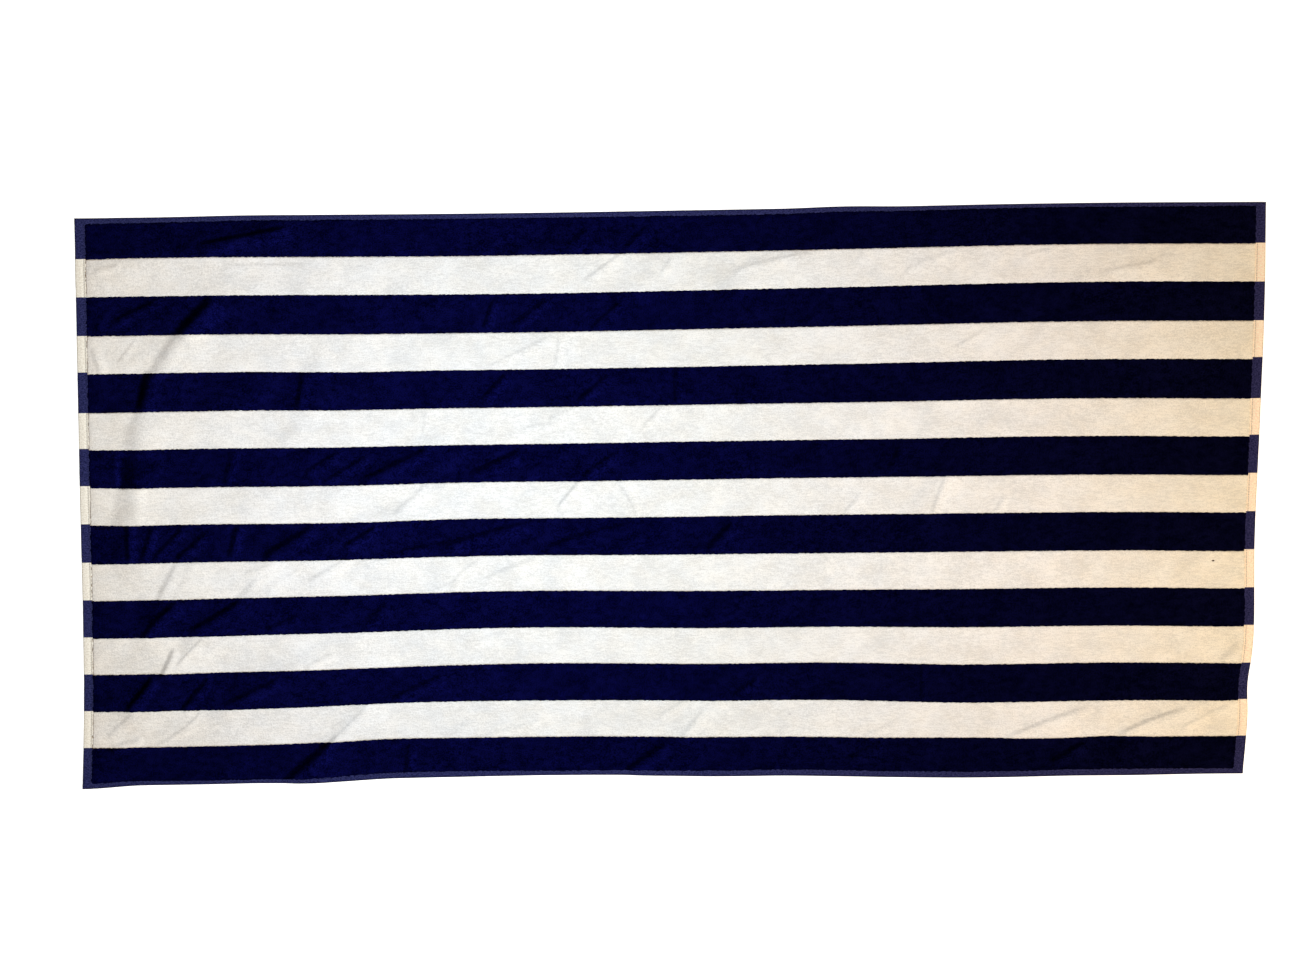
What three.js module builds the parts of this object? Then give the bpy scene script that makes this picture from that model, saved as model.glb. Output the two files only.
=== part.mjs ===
// Beach towel of terry cloth with long stripes, laid face up on a flat surface.
// It is one woven panel whose four edges are turned into hems, so it is one closed solid.
// Millimetres, +Z up: X runs along the towel, Y across it, and the origin is the middle of its footprint.
import * as THREE from "three";

// Finished size of the towel and the thickness of its cloth
const LENGTH = 1570;
const WIDTH = 760;
const PILE_THICKNESS = 3.2;
const HEM_THICKNESS = 2.2;

// Hems: a flat-woven band at each short end, a narrow turned edge along each long side
const END_HEM = 13.5;
const SIDE_HEM = 6.5;
const PILE_SHOULDER = 3;
const EDGE_ROLL = 0.7;

// Cells of the pile between the hems
const CELLS_ALONG = 60;
const CELLS_ACROSS = 30;

const TOWEL_NAVY = 0x0a0b2e;

// How far each short end is pulled along the towel, at a few places across it
const LEFT_PULL = [
  { across: -380, pull: -12 },
  { across: -300, pull: -7 },
  { across: -200, pull: -3 },
  { across: 0, pull: 1 },
  { across: 200, pull: 5 },
  { across: 380, pull: 9 },
];
const RIGHT_PULL = [
  { across: -380, pull: -12 },
  { across: -300, pull: -7 },
  { across: -250, pull: -8 },
  { across: -190, pull: -1 },
  { across: -60, pull: -2 },
  { across: 100, pull: 2 },
  { across: 260, pull: 5 },
  { across: 380, pull: 4 },
];

// Slow bends of the cloth. Each pushes it across by its sway at its middle, and fades out over its reaches.
const BENDS = [
  { x: -160, y: -330, reachX: 480, reachY: 330, sway: 7 },
  { x: 440, y: -350, reachX: 300, reachY: 260, sway: -4 },
  { x: 785, y: -260, reachX: 260, reachY: 300, sway: -4 },
  { x: -785, y: -60, reachX: 300, reachY: 500, sway: -2.5 },
  { x: -785, y: -380, reachX: 90, reachY: 60, sway: -4 },
  { x: -220, y: 270, reachX: 460, reachY: 230, sway: -3 },
  { x: 540, y: 290, reachX: 420, reachY: 260, sway: 3.5 },
  { x: -480, y: 0, reachX: 200, reachY: 150, sway: -2 },
  { x: 180, y: 0, reachX: 420, reachY: 180, sway: 1.5 },
  { x: -210, y: -130, reachX: 260, reachY: 200, sway: 2.5 },
  { x: 230, y: -260, reachX: 200, reachY: 180, sway: 3 },
  { x: -390, y: -320, reachX: 130, reachY: 110, sway: 2 },
  { x: 785, y: -20, reachX: 180, reachY: 320, sway: -2 },
  { x: 500, y: 70, reachX: 240, reachY: 180, sway: 1.5 },
  { x: -440, y: 160, reachX: 160, reachY: 130, sway: -1.5 },
  { x: -240, y: 0, reachX: 130, reachY: 45, sway: 1.5 },
  { x: -785, y: 10, reachX: 80, reachY: 110, sway: 1.8 },
  { x: -785, y: 350, reachX: 80, reachY: 70, sway: -1.5 },
  { x: -690, y: 385, reachX: 150, reachY: 50, sway: -1.5 },
  { x: 230, y: 385, reachX: 90, reachY: 50, sway: 1.5 },
  { x: -290, y: -300, reachX: 150, reachY: 70, sway: 1.5 },
  { x: 400, y: -325, reachX: 150, reachY: 55, sway: 2.5 },
  { x: 610, y: -330, reachX: 70, reachY: 50, sway: 1.5 },
  { x: -460, y: -385, reachX: 110, reachY: 50, sway: -2.5 },
  { x: 60, y: -385, reachX: 120, reachY: 50, sway: -1.5 },
  { x: 640, y: -385, reachX: 120, reachY: 50, sway: -1 },
];

// Soft folds. Each has its middle, its heading in degrees from +X, its length, the widths of its steep
// side (left of the heading) and gentle side, its height, and how far its line bows to the left.
const FOLDS = [
  { x: -660, y: 95, heading: 70, length: 440, steep: 26, gentle: 50, height: 5.0, bow: 45 },
  { x: -620, y: 345, heading: 10, length: 300, steep: 24, gentle: 40, height: 3.2, bow: 6 },
  { x: -680, y: -130, heading: 50, length: 150, steep: 24, gentle: 40, height: 3.2, bow: 0 },
  { x: -690, y: -230, heading: 45, length: 170, steep: 26, gentle: 42, height: 4.0, bow: -4 },
  { x: -570, y: -130, heading: 35, length: 190, steep: 24, gentle: 40, height: 2.8, bow: 0 },
  { x: -520, y: -225, heading: 25, length: 250, steep: 26, gentle: 42, height: 3.2, bow: 6 },
  { x: -460, y: -320, heading: 45, length: 170, steep: 24, gentle: 42, height: 3.6, bow: 0 },
  { x: -455, y: -45, heading: 20, length: 260, steep: 24, gentle: 40, height: 3.0, bow: 8 },
  { x: -385, y: 50, heading: 25, length: 200, steep: 24, gentle: 40, height: 2.8, bow: 0 },
  { x: -490, y: 140, heading: 70, length: 170, steep: 24, gentle: 36, height: 2.2, bow: -6 },
  { x: -235, y: -45, heading: 15, length: 190, steep: 24, gentle: 40, height: 2.6, bow: 0 },
  { x: -225, y: 50, heading: 20, length: 180, steep: 24, gentle: 40, height: 2.6, bow: 5 },
  { x: -80, y: -50, heading: 15, length: 190, steep: 24, gentle: 40, height: 2.6, bow: 0 },
  { x: -110, y: 145, heading: 30, length: 150, steep: 24, gentle: 38, height: 2.4, bow: 0 },
  { x: -125, y: 340, heading: 10, length: 190, steep: 24, gentle: 38, height: 2.6, bow: 4 },
  { x: 135, y: 310, heading: 15, length: 160, steep: 24, gentle: 38, height: 2.4, bow: 4 },
  { x: 0, y: -325, heading: 40, length: 180, steep: 24, gentle: 42, height: 3.0, bow: 0 },
  { x: 345, y: 25, heading: 60, length: 170, steep: 24, gentle: 40, height: 2.2, bow: -5 },
  { x: 515, y: -305, heading: 20, length: 180, steep: 24, gentle: 40, height: 3.0, bow: 4 },
  { x: 655, y: -305, heading: 20, length: 150, steep: 24, gentle: 38, height: 3.4, bow: 4 },
  { x: 740, y: -245, heading: 50, length: 120, steep: 24, gentle: 36, height: 3.0, bow: -4 },
  { x: 605, y: 300, heading: 10, length: 160, steep: 24, gentle: 38, height: 2.2, bow: 0 },
];

/** Rounded hump: 1 at its middle, falling to 0 at a distance of 1 and staying there. */
function hump(distance) {
  return 0.5 + 0.5 * Math.cos(Math.PI * Math.min(Math.abs(distance), 1));
}

/** Smooth curve through the rows of an end's table, which are in order of their place across. */
function pullAt(table, across) {
  const last = table.length - 1;
  let i = 0;
  while (i < last - 1 && across > table[i + 1].across) {
    i += 1;
  }
  const slope = (k) => {
    const before = table[Math.max(k - 1, 0)];
    const after = table[Math.min(k + 1, last)];
    return (after.pull - before.pull) / (after.across - before.across);
  };
  const span = table[i + 1].across - table[i].across;
  const t = THREE.MathUtils.clamp((across - table[i].across) / span, 0, 1);
  const rise = t * t * (3 - 2 * t);
  const leaveSlope = t * (1 - t) * (1 - t) * span * slope(i);
  const arriveSlope = t * t * (t - 1) * span * slope(i + 1);
  return THREE.MathUtils.lerp(table[i].pull, table[i + 1].pull, rise) + leaveSlope + arriveSlope;
}

/** How far the slow bends push a point of the flat towel across it. */
function swayAt(along, across) {
  return BENDS.reduce((total, bend) => {
    const share = hump((along - bend.x) / bend.reachX) * hump((across - bend.y) / bend.reachY);
    return total + bend.sway * share;
  }, 0);
}

/** Where a point of the flat towel lies once the ends are pulled and the stripes wander. */
function layOut(along, across) {
  const pull = THREE.MathUtils.lerp(
    pullAt(LEFT_PULL, across),
    pullAt(RIGHT_PULL, across),
    along / LENGTH + 0.5,
  );
  return { x: along + pull, y: across + swayAt(along, across) };
}

/** Height of one fold over a point: a rounded ridge that fades out at both of its ends. */
function foldLift(fold, x, y) {
  const heading = THREE.MathUtils.degToRad(fold.heading);
  const dx = x - fold.x;
  const dy = y - fold.y;
  const run = (dx * Math.cos(heading) + dy * Math.sin(heading)) / (fold.length / 2);
  if (Math.abs(run) >= 1) {
    return 0;
  }
  const aside = dy * Math.cos(heading) - dx * Math.sin(heading) - fold.bow * (1 - run * run);
  const reach = aside > 0 ? fold.steep : fold.gentle;
  return fold.height * hump(aside / reach) * hump(run * run);
}

/** How far the folds raise the cloth off the surface. Where two meet, the higher one holds it up. */
function liftAt(x, y) {
  return Math.max(...FOLDS.map((fold) => foldLift(fold, x, y)));
}

/** The hems are flat-woven and thinner than the pile, which starts past its shoulder inside them. */
function thicknessAt(along, across) {
  const toEnd = LENGTH / 2 - Math.abs(along);
  const toSide = WIDTH / 2 - Math.abs(across);
  const onPile = toEnd > END_HEM + PILE_SHOULDER / 2 && toSide > SIDE_HEM + PILE_SHOULDER / 2;
  return onPile ? PILE_THICKNESS : HEM_THICKNESS;
}

/** Grid lines one way: the edge, the hem's inner line, the shoulder of the pile, then even cells. */
function gridLines(size, hem, cells) {
  const edge = size / 2 - EDGE_ROLL;
  const hemLine = size / 2 - hem;
  const shoulder = hemLine - PILE_SHOULDER;
  const lines = [-edge, -hemLine];
  for (let i = 0; i <= cells; i += 1) {
    lines.push(THREE.MathUtils.lerp(-shoulder, shoulder, i / cells));
  }
  lines.push(hemLine, edge);
  return lines;
}

/** Closed solid of the laid towel: an upper face, an underside and a rolled edge around them. */
function towelGeometry() {
  const alongLines = gridLines(LENGTH, END_HEM, CELLS_ALONG);
  const acrossLines = gridLines(WIDTH, SIDE_HEM, CELLS_ACROSS);
  const columns = alongLines.length;
  const rows = acrossLines.length;
  const positions = [];
  const triangles = [];

  const addVertex = (along, across, share) => {
    const { x, y } = layOut(along, across);
    positions.push(x, y, liftAt(x, y) + share * thicknessAt(along, across));
    return positions.length / 3 - 1;
  };
  const addFace = (share) =>
    acrossLines.map((across) => alongLines.map((along) => addVertex(along, across, share)));
  const addQuad = (a, b, c, d) => triangles.push(a, b, c, a, c, d);

  const upper = addFace(1);
  const under = addFace(0);
  for (let j = 0; j < rows - 1; j += 1) {
    for (let i = 0; i < columns - 1; i += 1) {
      addQuad(upper[j][i], upper[j][i + 1], upper[j + 1][i + 1], upper[j + 1][i]);
      addQuad(under[j + 1][i + 1], under[j][i + 1], under[j][i], under[j + 1][i]);
    }
  }

  // Grid places around the border, counterclockwise as seen from above
  const border = [];
  for (let i = 0; i < columns - 1; i += 1) {
    border.push([0, i]);
  }
  for (let j = 0; j < rows - 1; j += 1) {
    border.push([j, columns - 1]);
  }
  for (let i = columns - 1; i > 0; i -= 1) {
    border.push([rows - 1, i]);
  }
  for (let j = rows - 1; j > 0; j -= 1) {
    border.push([j, 0]);
  }

  // The rim stands out from both faces at half the hem's thickness
  const isOuter = (lines, k) => k === 0 || k === lines.length - 1;
  const rollOut = (lines, k) => lines[k] + (isOuter(lines, k) ? EDGE_ROLL * Math.sign(lines[k]) : 0);
  const rim = border.map(([j, i]) => addVertex(rollOut(alongLines, i), rollOut(acrossLines, j), 0.5));
  border.forEach(([j, i], k) => {
    const next = (k + 1) % border.length;
    const [nextJ, nextI] = border[next];
    addQuad(under[j][i], under[nextJ][nextI], rim[next], rim[k]);
    addQuad(rim[k], rim[next], upper[nextJ][nextI], upper[j][i]);
  });

  const geometry = new THREE.BufferGeometry();
  geometry.setAttribute("position", new THREE.Float32BufferAttribute(positions, 3));
  geometry.setIndex(triangles);
  geometry.computeVertexNormals();
  return geometry;
}

/** Moves the geometry so that the origin is the middle of its footprint. */
function centreFootprint(geometry) {
  geometry.computeBoundingBox();
  const middle = geometry.boundingBox.getCenter(new THREE.Vector3());
  geometry.translate(-middle.x, -middle.y, 0);
  return geometry;
}

function makeTowel() {
  const cotton = new THREE.MeshStandardMaterial({ color: TOWEL_NAVY, roughness: 0.95, metalness: 0 });
  const towel = new THREE.Mesh(centreFootprint(towelGeometry()), cotton);
  towel.name = "towel";
  return towel;
}

const part = new THREE.Group();
part.add(makeTowel());

export default part;
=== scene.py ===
"""Striped beach towel laid on a pale floor: terry pile, flat-woven hems and their stitching.

Tables and sizes are in millimetres. `along` and `across` are places on the flat towel, with its stripes and
over them, from its middle. `x` and `y` are places on the laid towel, whose ends are pulled askew and whose
stripes wander, before its outline is centred. Meshes are in metres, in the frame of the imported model.
"""

import bpy
import numpy as np
from mathutils import Matrix, Vector


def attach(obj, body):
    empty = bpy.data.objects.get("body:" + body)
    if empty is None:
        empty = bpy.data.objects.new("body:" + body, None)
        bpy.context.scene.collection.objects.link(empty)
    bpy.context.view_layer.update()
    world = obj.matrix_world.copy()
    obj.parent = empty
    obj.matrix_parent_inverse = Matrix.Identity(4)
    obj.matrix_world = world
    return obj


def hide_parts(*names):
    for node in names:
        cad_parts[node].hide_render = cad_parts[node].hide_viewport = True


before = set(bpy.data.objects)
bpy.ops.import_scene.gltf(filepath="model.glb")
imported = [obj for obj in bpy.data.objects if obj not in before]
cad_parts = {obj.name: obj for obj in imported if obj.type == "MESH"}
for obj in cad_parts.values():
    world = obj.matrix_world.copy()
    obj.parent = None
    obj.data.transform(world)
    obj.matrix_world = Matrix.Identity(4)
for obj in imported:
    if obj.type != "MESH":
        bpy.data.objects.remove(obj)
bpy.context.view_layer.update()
MM = 0.001


def table_of(columns, rows):
    """Rows of numbers under named columns."""
    return np.array(rows, dtype=[(column, float) for column in columns.split()])


# Finished size of the towel
LENGTH = 1570.0
WIDTH = 760.0

# Widths of the hems, and how far in from the edge their seams run
END_HEM = 13.5
SIDE_HEM = 6.5
END_SEAM = 11.2
SIDE_SEAM = 4.9

# Levels of the cloth above its own underside, and the extra where two hems cross at a corner
HEM_TOP = 2.2
GROUND_TOP = 1.3
PILE_TOP = 3.2
CORNER_LIFT = 0.5

# Width of the rounded outer edge, and of the painted shade along it
RIM = 1.3
EDGE_SHADE = 2.0

# Run of the step from a hem down to the ground weave, and how far past each hem it ends
HEM_STEP = 1.6
END_STEP_STOP = 1.8
SIDE_STEP_STOP = 0.8

# How far in from a hem the cloth still gives way to the hem's own width
HEM_BLEND = 40.0

# The furrow that a seam's thread pulls into its hem, and how far the end seams stop short of the sides
SEAM_DIP = 0.55
SEAM_SPREAD = 0.75
SEAM_STOP = 1.6

# How the pile falls at the end hems, at the side hems and where two stripes meet
END_SLOPE = 9.0
END_SLOPE_POWER = 1.5
HEM_SHOULDER = {"width": 3.0, "drop": 1.5}
STRIPE_SHOULDER = {"width": 1.6, "drop": 0.30}

# How far the pile's hidden under side draws in, and how far it sinks into the ground weave
PILE_INSET = 0.6
PILE_SINK = 0.25

# Stripes across the towel, from its near edge: navy first and last, white between
NAVY = 51.0
WHITE = 49.5
NEAR_NAVY = 53.0
FAR_NAVY = 54.5
WHITE_STRIPES = 7

# Cells of the fine meshes, and how many of them one cell of the under side spans
PILE_CELL = 2.0
PILE_THIN = 4
CLOTH_CELL = 7.0
CLOTH_THIN = 2

# Extra grid lines of the cloth: depths over its rim, offsets from a seam, and one past a hem
RIM_LINES = (0, 0.25, 0.7)
SEAM_LINES = (-0.9, 0, 0.8)
HEM_LINE = 1.5

# How far each short end is pulled along the towel, at a few places across it
LEFT_PULL = table_of(
    "place pull",
    [(-380, -12), (-300, -7), (-200, -3), (0, 1), (200, 5), (380, 9)],
)
RIGHT_PULL = table_of(
    "place pull",
    [(-380, -12), (-300, -7), (-250, -8), (-190, -1), (-60, -2), (100, 2), (260, 5), (380, 4)],
)

# Slow bends of the cloth. Each pushes it across by its sway at its middle, and fades out over its reaches.
BENDS = table_of(
    "along across reach_along reach_across sway",
    [
        (-160, -330, 480, 330, 7),
        (440, -350, 300, 260, -4),
        (785, -260, 260, 300, -4),
        (-785, -60, 300, 500, -2.5),
        (-785, -380, 90, 60, -4),
        (-220, 270, 460, 230, -3),
        (540, 290, 420, 260, 3.5),
        (-480, 0, 200, 150, -2),
        (180, 0, 420, 180, 1.5),
        (-210, -130, 260, 200, 2.5),
        (230, -260, 200, 180, 3),
        (-390, -320, 130, 110, 2),
        (785, -20, 180, 320, -2),
        (500, 70, 240, 180, 1.5),
        (-440, 160, 160, 130, -1.5),
        (-240, 0, 130, 45, 1.5),
        (-785, 10, 80, 110, 1.8),
        (-785, 350, 80, 70, -1.5),
        (-690, 385, 150, 50, -1.5),
        (230, 385, 90, 50, 1.5),
        (-290, -300, 150, 70, 1.5),
        (400, -325, 150, 55, 2.5),
        (610, -330, 70, 50, 1.5),
        (-460, -385, 110, 50, -2.5),
        (60, -385, 120, 50, -1.5),
        (640, -385, 120, 50, -1),
    ],
)

# How wide the two end hems are at places across the towel, as shares of their usual width
END_SHARES = table_of(
    "place left right",
    [
        (-380, 0.92, 1.02),
        (-260, 0.94, 0.97),
        (-100, 0.97, 1.00),
        (0, 1.00, 0.97),
        (150, 1.01, 1.02),
        (270, 1.04, 1.04),
        (380, 1.06, 0.96),
    ],
)

# The same for the two side hems, at places along the towel
SIDE_SHARES = table_of(
    "place near far",
    [
        (-785, 1.10, 1.15),
        (-560, 0.80, 1.05),
        (-320, 1.25, 1.00),
        (-130, 0.95, 1.00),
        (60, 1.20, 1.08),
        (260, 1.30, 1.00),
        (460, 1.30, 0.80),
        (660, 1.35, 0.85),
        (785, 1.10, 0.75),
    ],
)

# A ridge has the middle of its steep side, its heading in degrees from +X, its length, how far its line
# bows to the left, the widths of its steep side (left of the heading) and gentle side, and its height.
# A height below zero makes it a trough.
RIDGE = "x y heading length bow steep gentle height"

# Soft folds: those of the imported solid. The dressed cloth lies a little flatter than the solid.
FOLD_SHARE = 0.75
FOLDS = table_of(
    RIDGE,
    [
        (-660, 95, 70, 440, 45, 26, 50, 5.0),
        (-620, 345, 10, 300, 6, 24, 40, 3.2),
        (-680, -130, 50, 150, 0, 24, 40, 3.2),
        (-690, -230, 45, 170, -4, 26, 42, 4.0),
        (-570, -130, 35, 190, 0, 24, 40, 2.8),
        (-520, -225, 25, 250, 6, 26, 42, 3.2),
        (-460, -320, 45, 170, 0, 24, 42, 3.6),
        (-455, -45, 20, 260, 8, 24, 40, 3.0),
        (-385, 50, 25, 200, 0, 24, 40, 2.8),
        (-490, 140, 70, 170, -6, 24, 36, 2.2),
        (-235, -45, 15, 190, 0, 24, 40, 2.6),
        (-225, 50, 20, 180, 5, 24, 40, 2.6),
        (-80, -50, 15, 190, 0, 24, 40, 2.6),
        (-110, 145, 30, 150, 0, 24, 38, 2.4),
        (-125, 340, 10, 190, 4, 24, 38, 2.6),
        (135, 310, 15, 160, 4, 24, 38, 2.4),
        (0, -325, 40, 180, 0, 24, 42, 3.0),
        (345, 25, 60, 170, -5, 24, 40, 2.2),
        (515, -305, 20, 180, 4, 24, 40, 3.0),
        (655, -305, 20, 150, 4, 24, 38, 3.4),
        (740, -245, 50, 120, -4, 24, 36, 3.0),
        (605, 300, 10, 160, 0, 24, 38, 2.2),
    ],
)

# Narrow creases pressed into the cloth, stripe by stripe from the far edge to the near one
CREASES = table_of(
    RIDGE,
    [
        (-555, 353, 10, 130, 0, 7, 20, 1.9),
        (-625, 345, 40, 60, 0, 10, 18, 0.4),
        (-115, 348, 40, 40, 0, 9, 16, 0.6),
        (-40, 345, 45, 50, 0, 9, 14, 0.6),
        (-735, 314, 10, 40, 0, 5, 10, 0.8),
        (-530, 315, 0, 110, 0, 5, 12, 0.8),
        (-455, 304, -25, 60, 0, 5, 10, 0.8),
        (-85, 306, 35, 70, 0, 6, 14, 0.9),
        (0, 308, 55, 30, 0, 5, 9, 0.5),
        (140, 312, 12, 110, 2, 5, 12, 0.8),
        (350, 308, 20, 90, 6, 6, 12, 0.5),
        (490, 320, 10, 45, 0, 5, 10, 0.6),
        (610, 300, 10, 80, 0, 5, 12, 0.7),
        (-700, 258, 25, 80, 0, 7, 14, 0.8),
        (-745, 250, 45, 40, 0, 10, 14, 0.6),
        (-622, 250, 45, 75, 0, 15, 24, 3.0),
        (-235, 248, 70, 45, 0, 6, 12, 0.6),
        (-180, 250, 35, 60, 0, 8, 14, 0.8),
        (-80, 245, 40, 60, 0, 7, 14, 0.7),
        (-663, 202, 55, 75, 2, 13, 20, 1.0),
        (-715, 203, 50, 40, 0, 4, 8, 0.5),
        (-755, 190, 105, 40, 0, 8, 12, 1.0),
        (-195, 198, 25, 105, 0, 5, 12, 0.5),
        (-145, 198, 85, 40, 0, 5, 10, 0.5),
        (400, 208, 30, 45, 0, 5, 10, 0.6),
        (-692, 152, 75, 60, 2, 14, 20, 2.6),
        (-487, 150, 80, 55, 0, 8, 14, 0.9),
        (-230, 152, 45, 50, 0, 7, 14, 0.8),
        (-100, 148, 40, 60, 0, 7, 14, 0.7),
        (10, 150, 90, 50, 0, 7, 12, 0.5),
        (-708, 112, 60, 36, 0, 9, 14, 0.4),
        (-323, 106, 80, 36, 0, 5, 8, 0.4),
        (-165, 101, 8, 60, 0, 5, 10, 0.5),
        (-140, 115, 20, 40, 0, 7, 12, 0.6),
        (-20, 110, 45, 40, 0, 5, 10, 0.6),
        (-731, 45, 87, 52, 0, 8, 24, -1.8),
        (-585, 48, 75, 50, 0, 10, 10, 0.8),
        (-460, 55, 30, 60, 0, 7, 12, 0.7),
        (-430, 45, 30, 75, 0, 7, 12, 0.8),
        (-365, 50, 25, 110, 0, 8, 16, 1.2),
        (-230, 52, 25, 85, 0, 8, 16, 0.9),
        (-90, 46, 35, 70, 3, 7, 14, 0.7),
        (300, 52, 65, 40, 0, 7, 12, 0.5),
        (-716, 0, 85, 56, 0, 19, 14, 1.1),
        (-343, 5, 40, 70, 0, 8, 14, 0.8),
        (-134, 8, 50, 50, 0, 5, 12, 0.9),
        (-57, 2, 120, 60, -3, 5, 12, 0.9),
        (245, -8, 50, 40, 0, 6, 12, 0.6),
        (358, 0, 70, 60, 0, 7, 12, 0.8),
        (440, -12, 60, 25, 0, 6, 9, 0.5),
        (-722, -52, 90, 55, 0, 8, 10, 1.4),
        (-697, -52, 70, 50, 0, 8, 9, 1.0),
        (-668, -50, 45, 60, 0, 7, 10, 0.8),
        (-638, -55, 40, 65, 0, 8, 12, 0.9),
        (-582, -50, 75, 50, 0, 9, 12, 1.1),
        (-508, -50, 30, 85, 0, 10, 16, 1.4),
        (-412, -45, 30, 55, 0, 7, 14, 1.1),
        (-330, -60, 10, 100, 0, 7, 12, 0.6),
        (-240, -45, 15, 140, 4, 7, 14, 0.8),
        (-105, -48, 15, 135, 5, 8, 16, 0.8),
        (68, -48, 45, 50, 0, 10, 16, 1.3),
        (-672, -102, 60, 60, 0, 9, 14, 1.3),
        (-545, -85, 15, 50, 0, 5, 10, 0.6),
        (-455, -88, 30, 70, 0, 7, 14, 0.7),
        (-565, -114, 45, 45, 0, 8, 14, 0.7),
        (-270, -95, 40, 65, 5, 5, 10, 0.5),
        (-210, -88, 20, 80, 0, 7, 14, 0.8),
        (-318, -118, 10, 35, 0, 6, 10, 0.6),
        (-683, -155, 45, 75, 4, 9, 16, 1.4),
        (-610, -150, 30, 90, 0, 8, 14, 1.4),
        (-520, -160, 20, 50, 0, 6, 12, 0.5),
        (-395, -148, 40, 50, 0, 10, 16, 0.6),
        (-675, -212, 65, 45, 0, 7, 12, 1.6),
        (-645, -198, 45, 55, 0, 4, 8, 0.6),
        (-470, -210, 25, 50, 0, 6, 10, 0.7),
        (-245, -182, 15, 70, 0, 8, 16, 0.7),
        (185, -183, 155, 30, 0, 5, 9, 0.5),
        (750, -215, 45, 35, 0, 10, 12, 1.1),
        (-715, -255, 50, 65, 0, 9, 16, 1.8),
        (-640, -255, 50, 62, 0, 8, 12, 1.0),
        (-562, -252, 25, 90, 0, 7, 14, 0.8),
        (-340, -248, 25, 85, 0, 7, 18, 0.8),
        (100, -253, 35, 45, 0, 8, 14, 0.7),
        (337, -253, 90, 50, 0, 4, 8, 0.4),
        (-742, -296, 40, 50, 0, 7, 14, 0.8),
        (-735, -321, 15, 50, 0, 7, 12, 1.1),
        (-665, -302, 35, 85, -5, 5, 12, 0.7),
        (-435, -300, 45, 85, 0, 4, 10, 0.4),
        (-460, -322, 40, 30, 0, 6, 12, 0.8),
        (-220, -308, 15, 100, 0, 5, 10, 0.5),
        (0, -283, 30, 45, 0, 6, 12, 0.7),
        (28, -303, 50, 55, 0, 7, 14, 0.8),
        (230, -303, -15, 100, -4, 5, 10, 0.4),
        (285, -312, 25, 60, 0, 7, 12, 0.6),
        (510, -306, 20, 130, 2, 6, 13, 1.2),
        (650, -308, 20, 105, 4, 6, 14, 1.7),
        (722, -302, 25, 90, 3, 6, 12, 0.8),
        (-492, -350, 40, 85, 0, 12, 18, 1.9),
        (-357, -347, 85, 40, 0, 8, 12, 0.8),
        (-35, -348, 35, 70, 0, 9, 16, 1.1),
        (260, -343, 25, 60, 0, 8, 14, 0.5),
        (535, -348, 30, 60, 0, 9, 14, 1.0),
    ],
)

# Random unevenness of the cloth and its pile: its height, the size of its cells and its seed
SWELL = {"height": 0.30, "along": 110.0, "across": 80.0, "seed": 3}
RIPPLE = {"height": 0.24, "along": 62.0, "across": 17.0, "seed": 9}
MOTTLE = {"height": 0.06, "along": 11.0, "across": 5.0, "seed": 5}
STREAK = {"height": 0.09, "along": 14.0, "across": 2.6, "seed": 7}
GRAIN = 0.05
GRAIN_SEED = 200

# Heading of the ripples in degrees, and how strong they are at the left and right ends
RIPPLE_HEADING = 30.0
RIPPLE_SHARES = (1.4, 0.5)

# How far tufts stray from a straight edge where two stripes meet and at a hem, and the seeds of the edges
PILE_FRAY = 0.45
HEM_FRAY = 0.8
STRIPE_SEED = 100
END_SEED = 60

# Painted light and shade on the pile's slopes: the way towards the painted light (a slope rising that way
# gets painted shade, one falling gets a painted highlight), the step that measures a slope, and the share
# of the soft folds in it
PAINTED_LIGHT_WAY = (0.86, -0.51)
PAINTED_LIGHT_STEP = 1.0
FOLD_PAINTED_LIGHT = 0.2

# Colours of the pile from shaded to bright, and the two tints that it wavers between
NAVY_PILE = [(0, 0, 22), (4, 5, 46), (9, 10, 66)]
NAVY_TINTS = [(0.95, 0.95, 1.0), (1.0, 1.0, 0.94)]
WHITE_PILE = [(216, 216, 216), (230, 230, 230), (241, 241, 241)]
WHITE_TINTS = [(1.0, 0.99, 0.97), (0.98, 0.99, 1.0)]

# Colours of the woven hems in their two tones of yarn, and of the thread: (in navy, in white)
DEEP_YARN = [(26, 29, 66), (232, 227, 216)]
LIGHT_YARN = [(52, 55, 104), (253, 250, 241)]
THREAD = [(54, 55, 104), (178, 173, 165)]

# Slow change of tone along the towel: (place, tone). The white's ends are creamier, partly from yellowing
# and partly as painted warm light, and it is painted lighter towards the right.
TONE_SPAN = 1600.0
WHITE_YELLOWING_AND_PAINTED_LIGHT = [
    (-790, (1.0, 0.965, 0.925)), (-500, (1.01, 1.0, 1.01)), (-300, (1.0, 1.0, 1.01)), (60, (1.0, 1.0, 1.0)),
    (250, (1.03, 1.02, 1.03)), (500, (1.07, 1.04, 1.04)), (790, (1.04, 0.96, 0.82)),
]
# The navy loses its blue towards the right end: painted warm light.
NAVY_PAINTED_WARM_LIGHT = [
    (-790, (0.9, 0.9, 0.8)), (-300, (1.0, 1.0, 0.95)), (0, (0.9, 0.9, 0.85)), (400, (0.9, 0.85, 0.55)),
    (790, (1.1, 1.0, 0.34)),
]
# The hems warm towards the right end: painted warm light.
HEM_PAINTED_WARM_LIGHT = [(-790, (1.0, 1.0, 1.0)), (0, (1.0, 1.0, 1.0)), (790, (1.17, 1.01, 0.88))]

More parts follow.
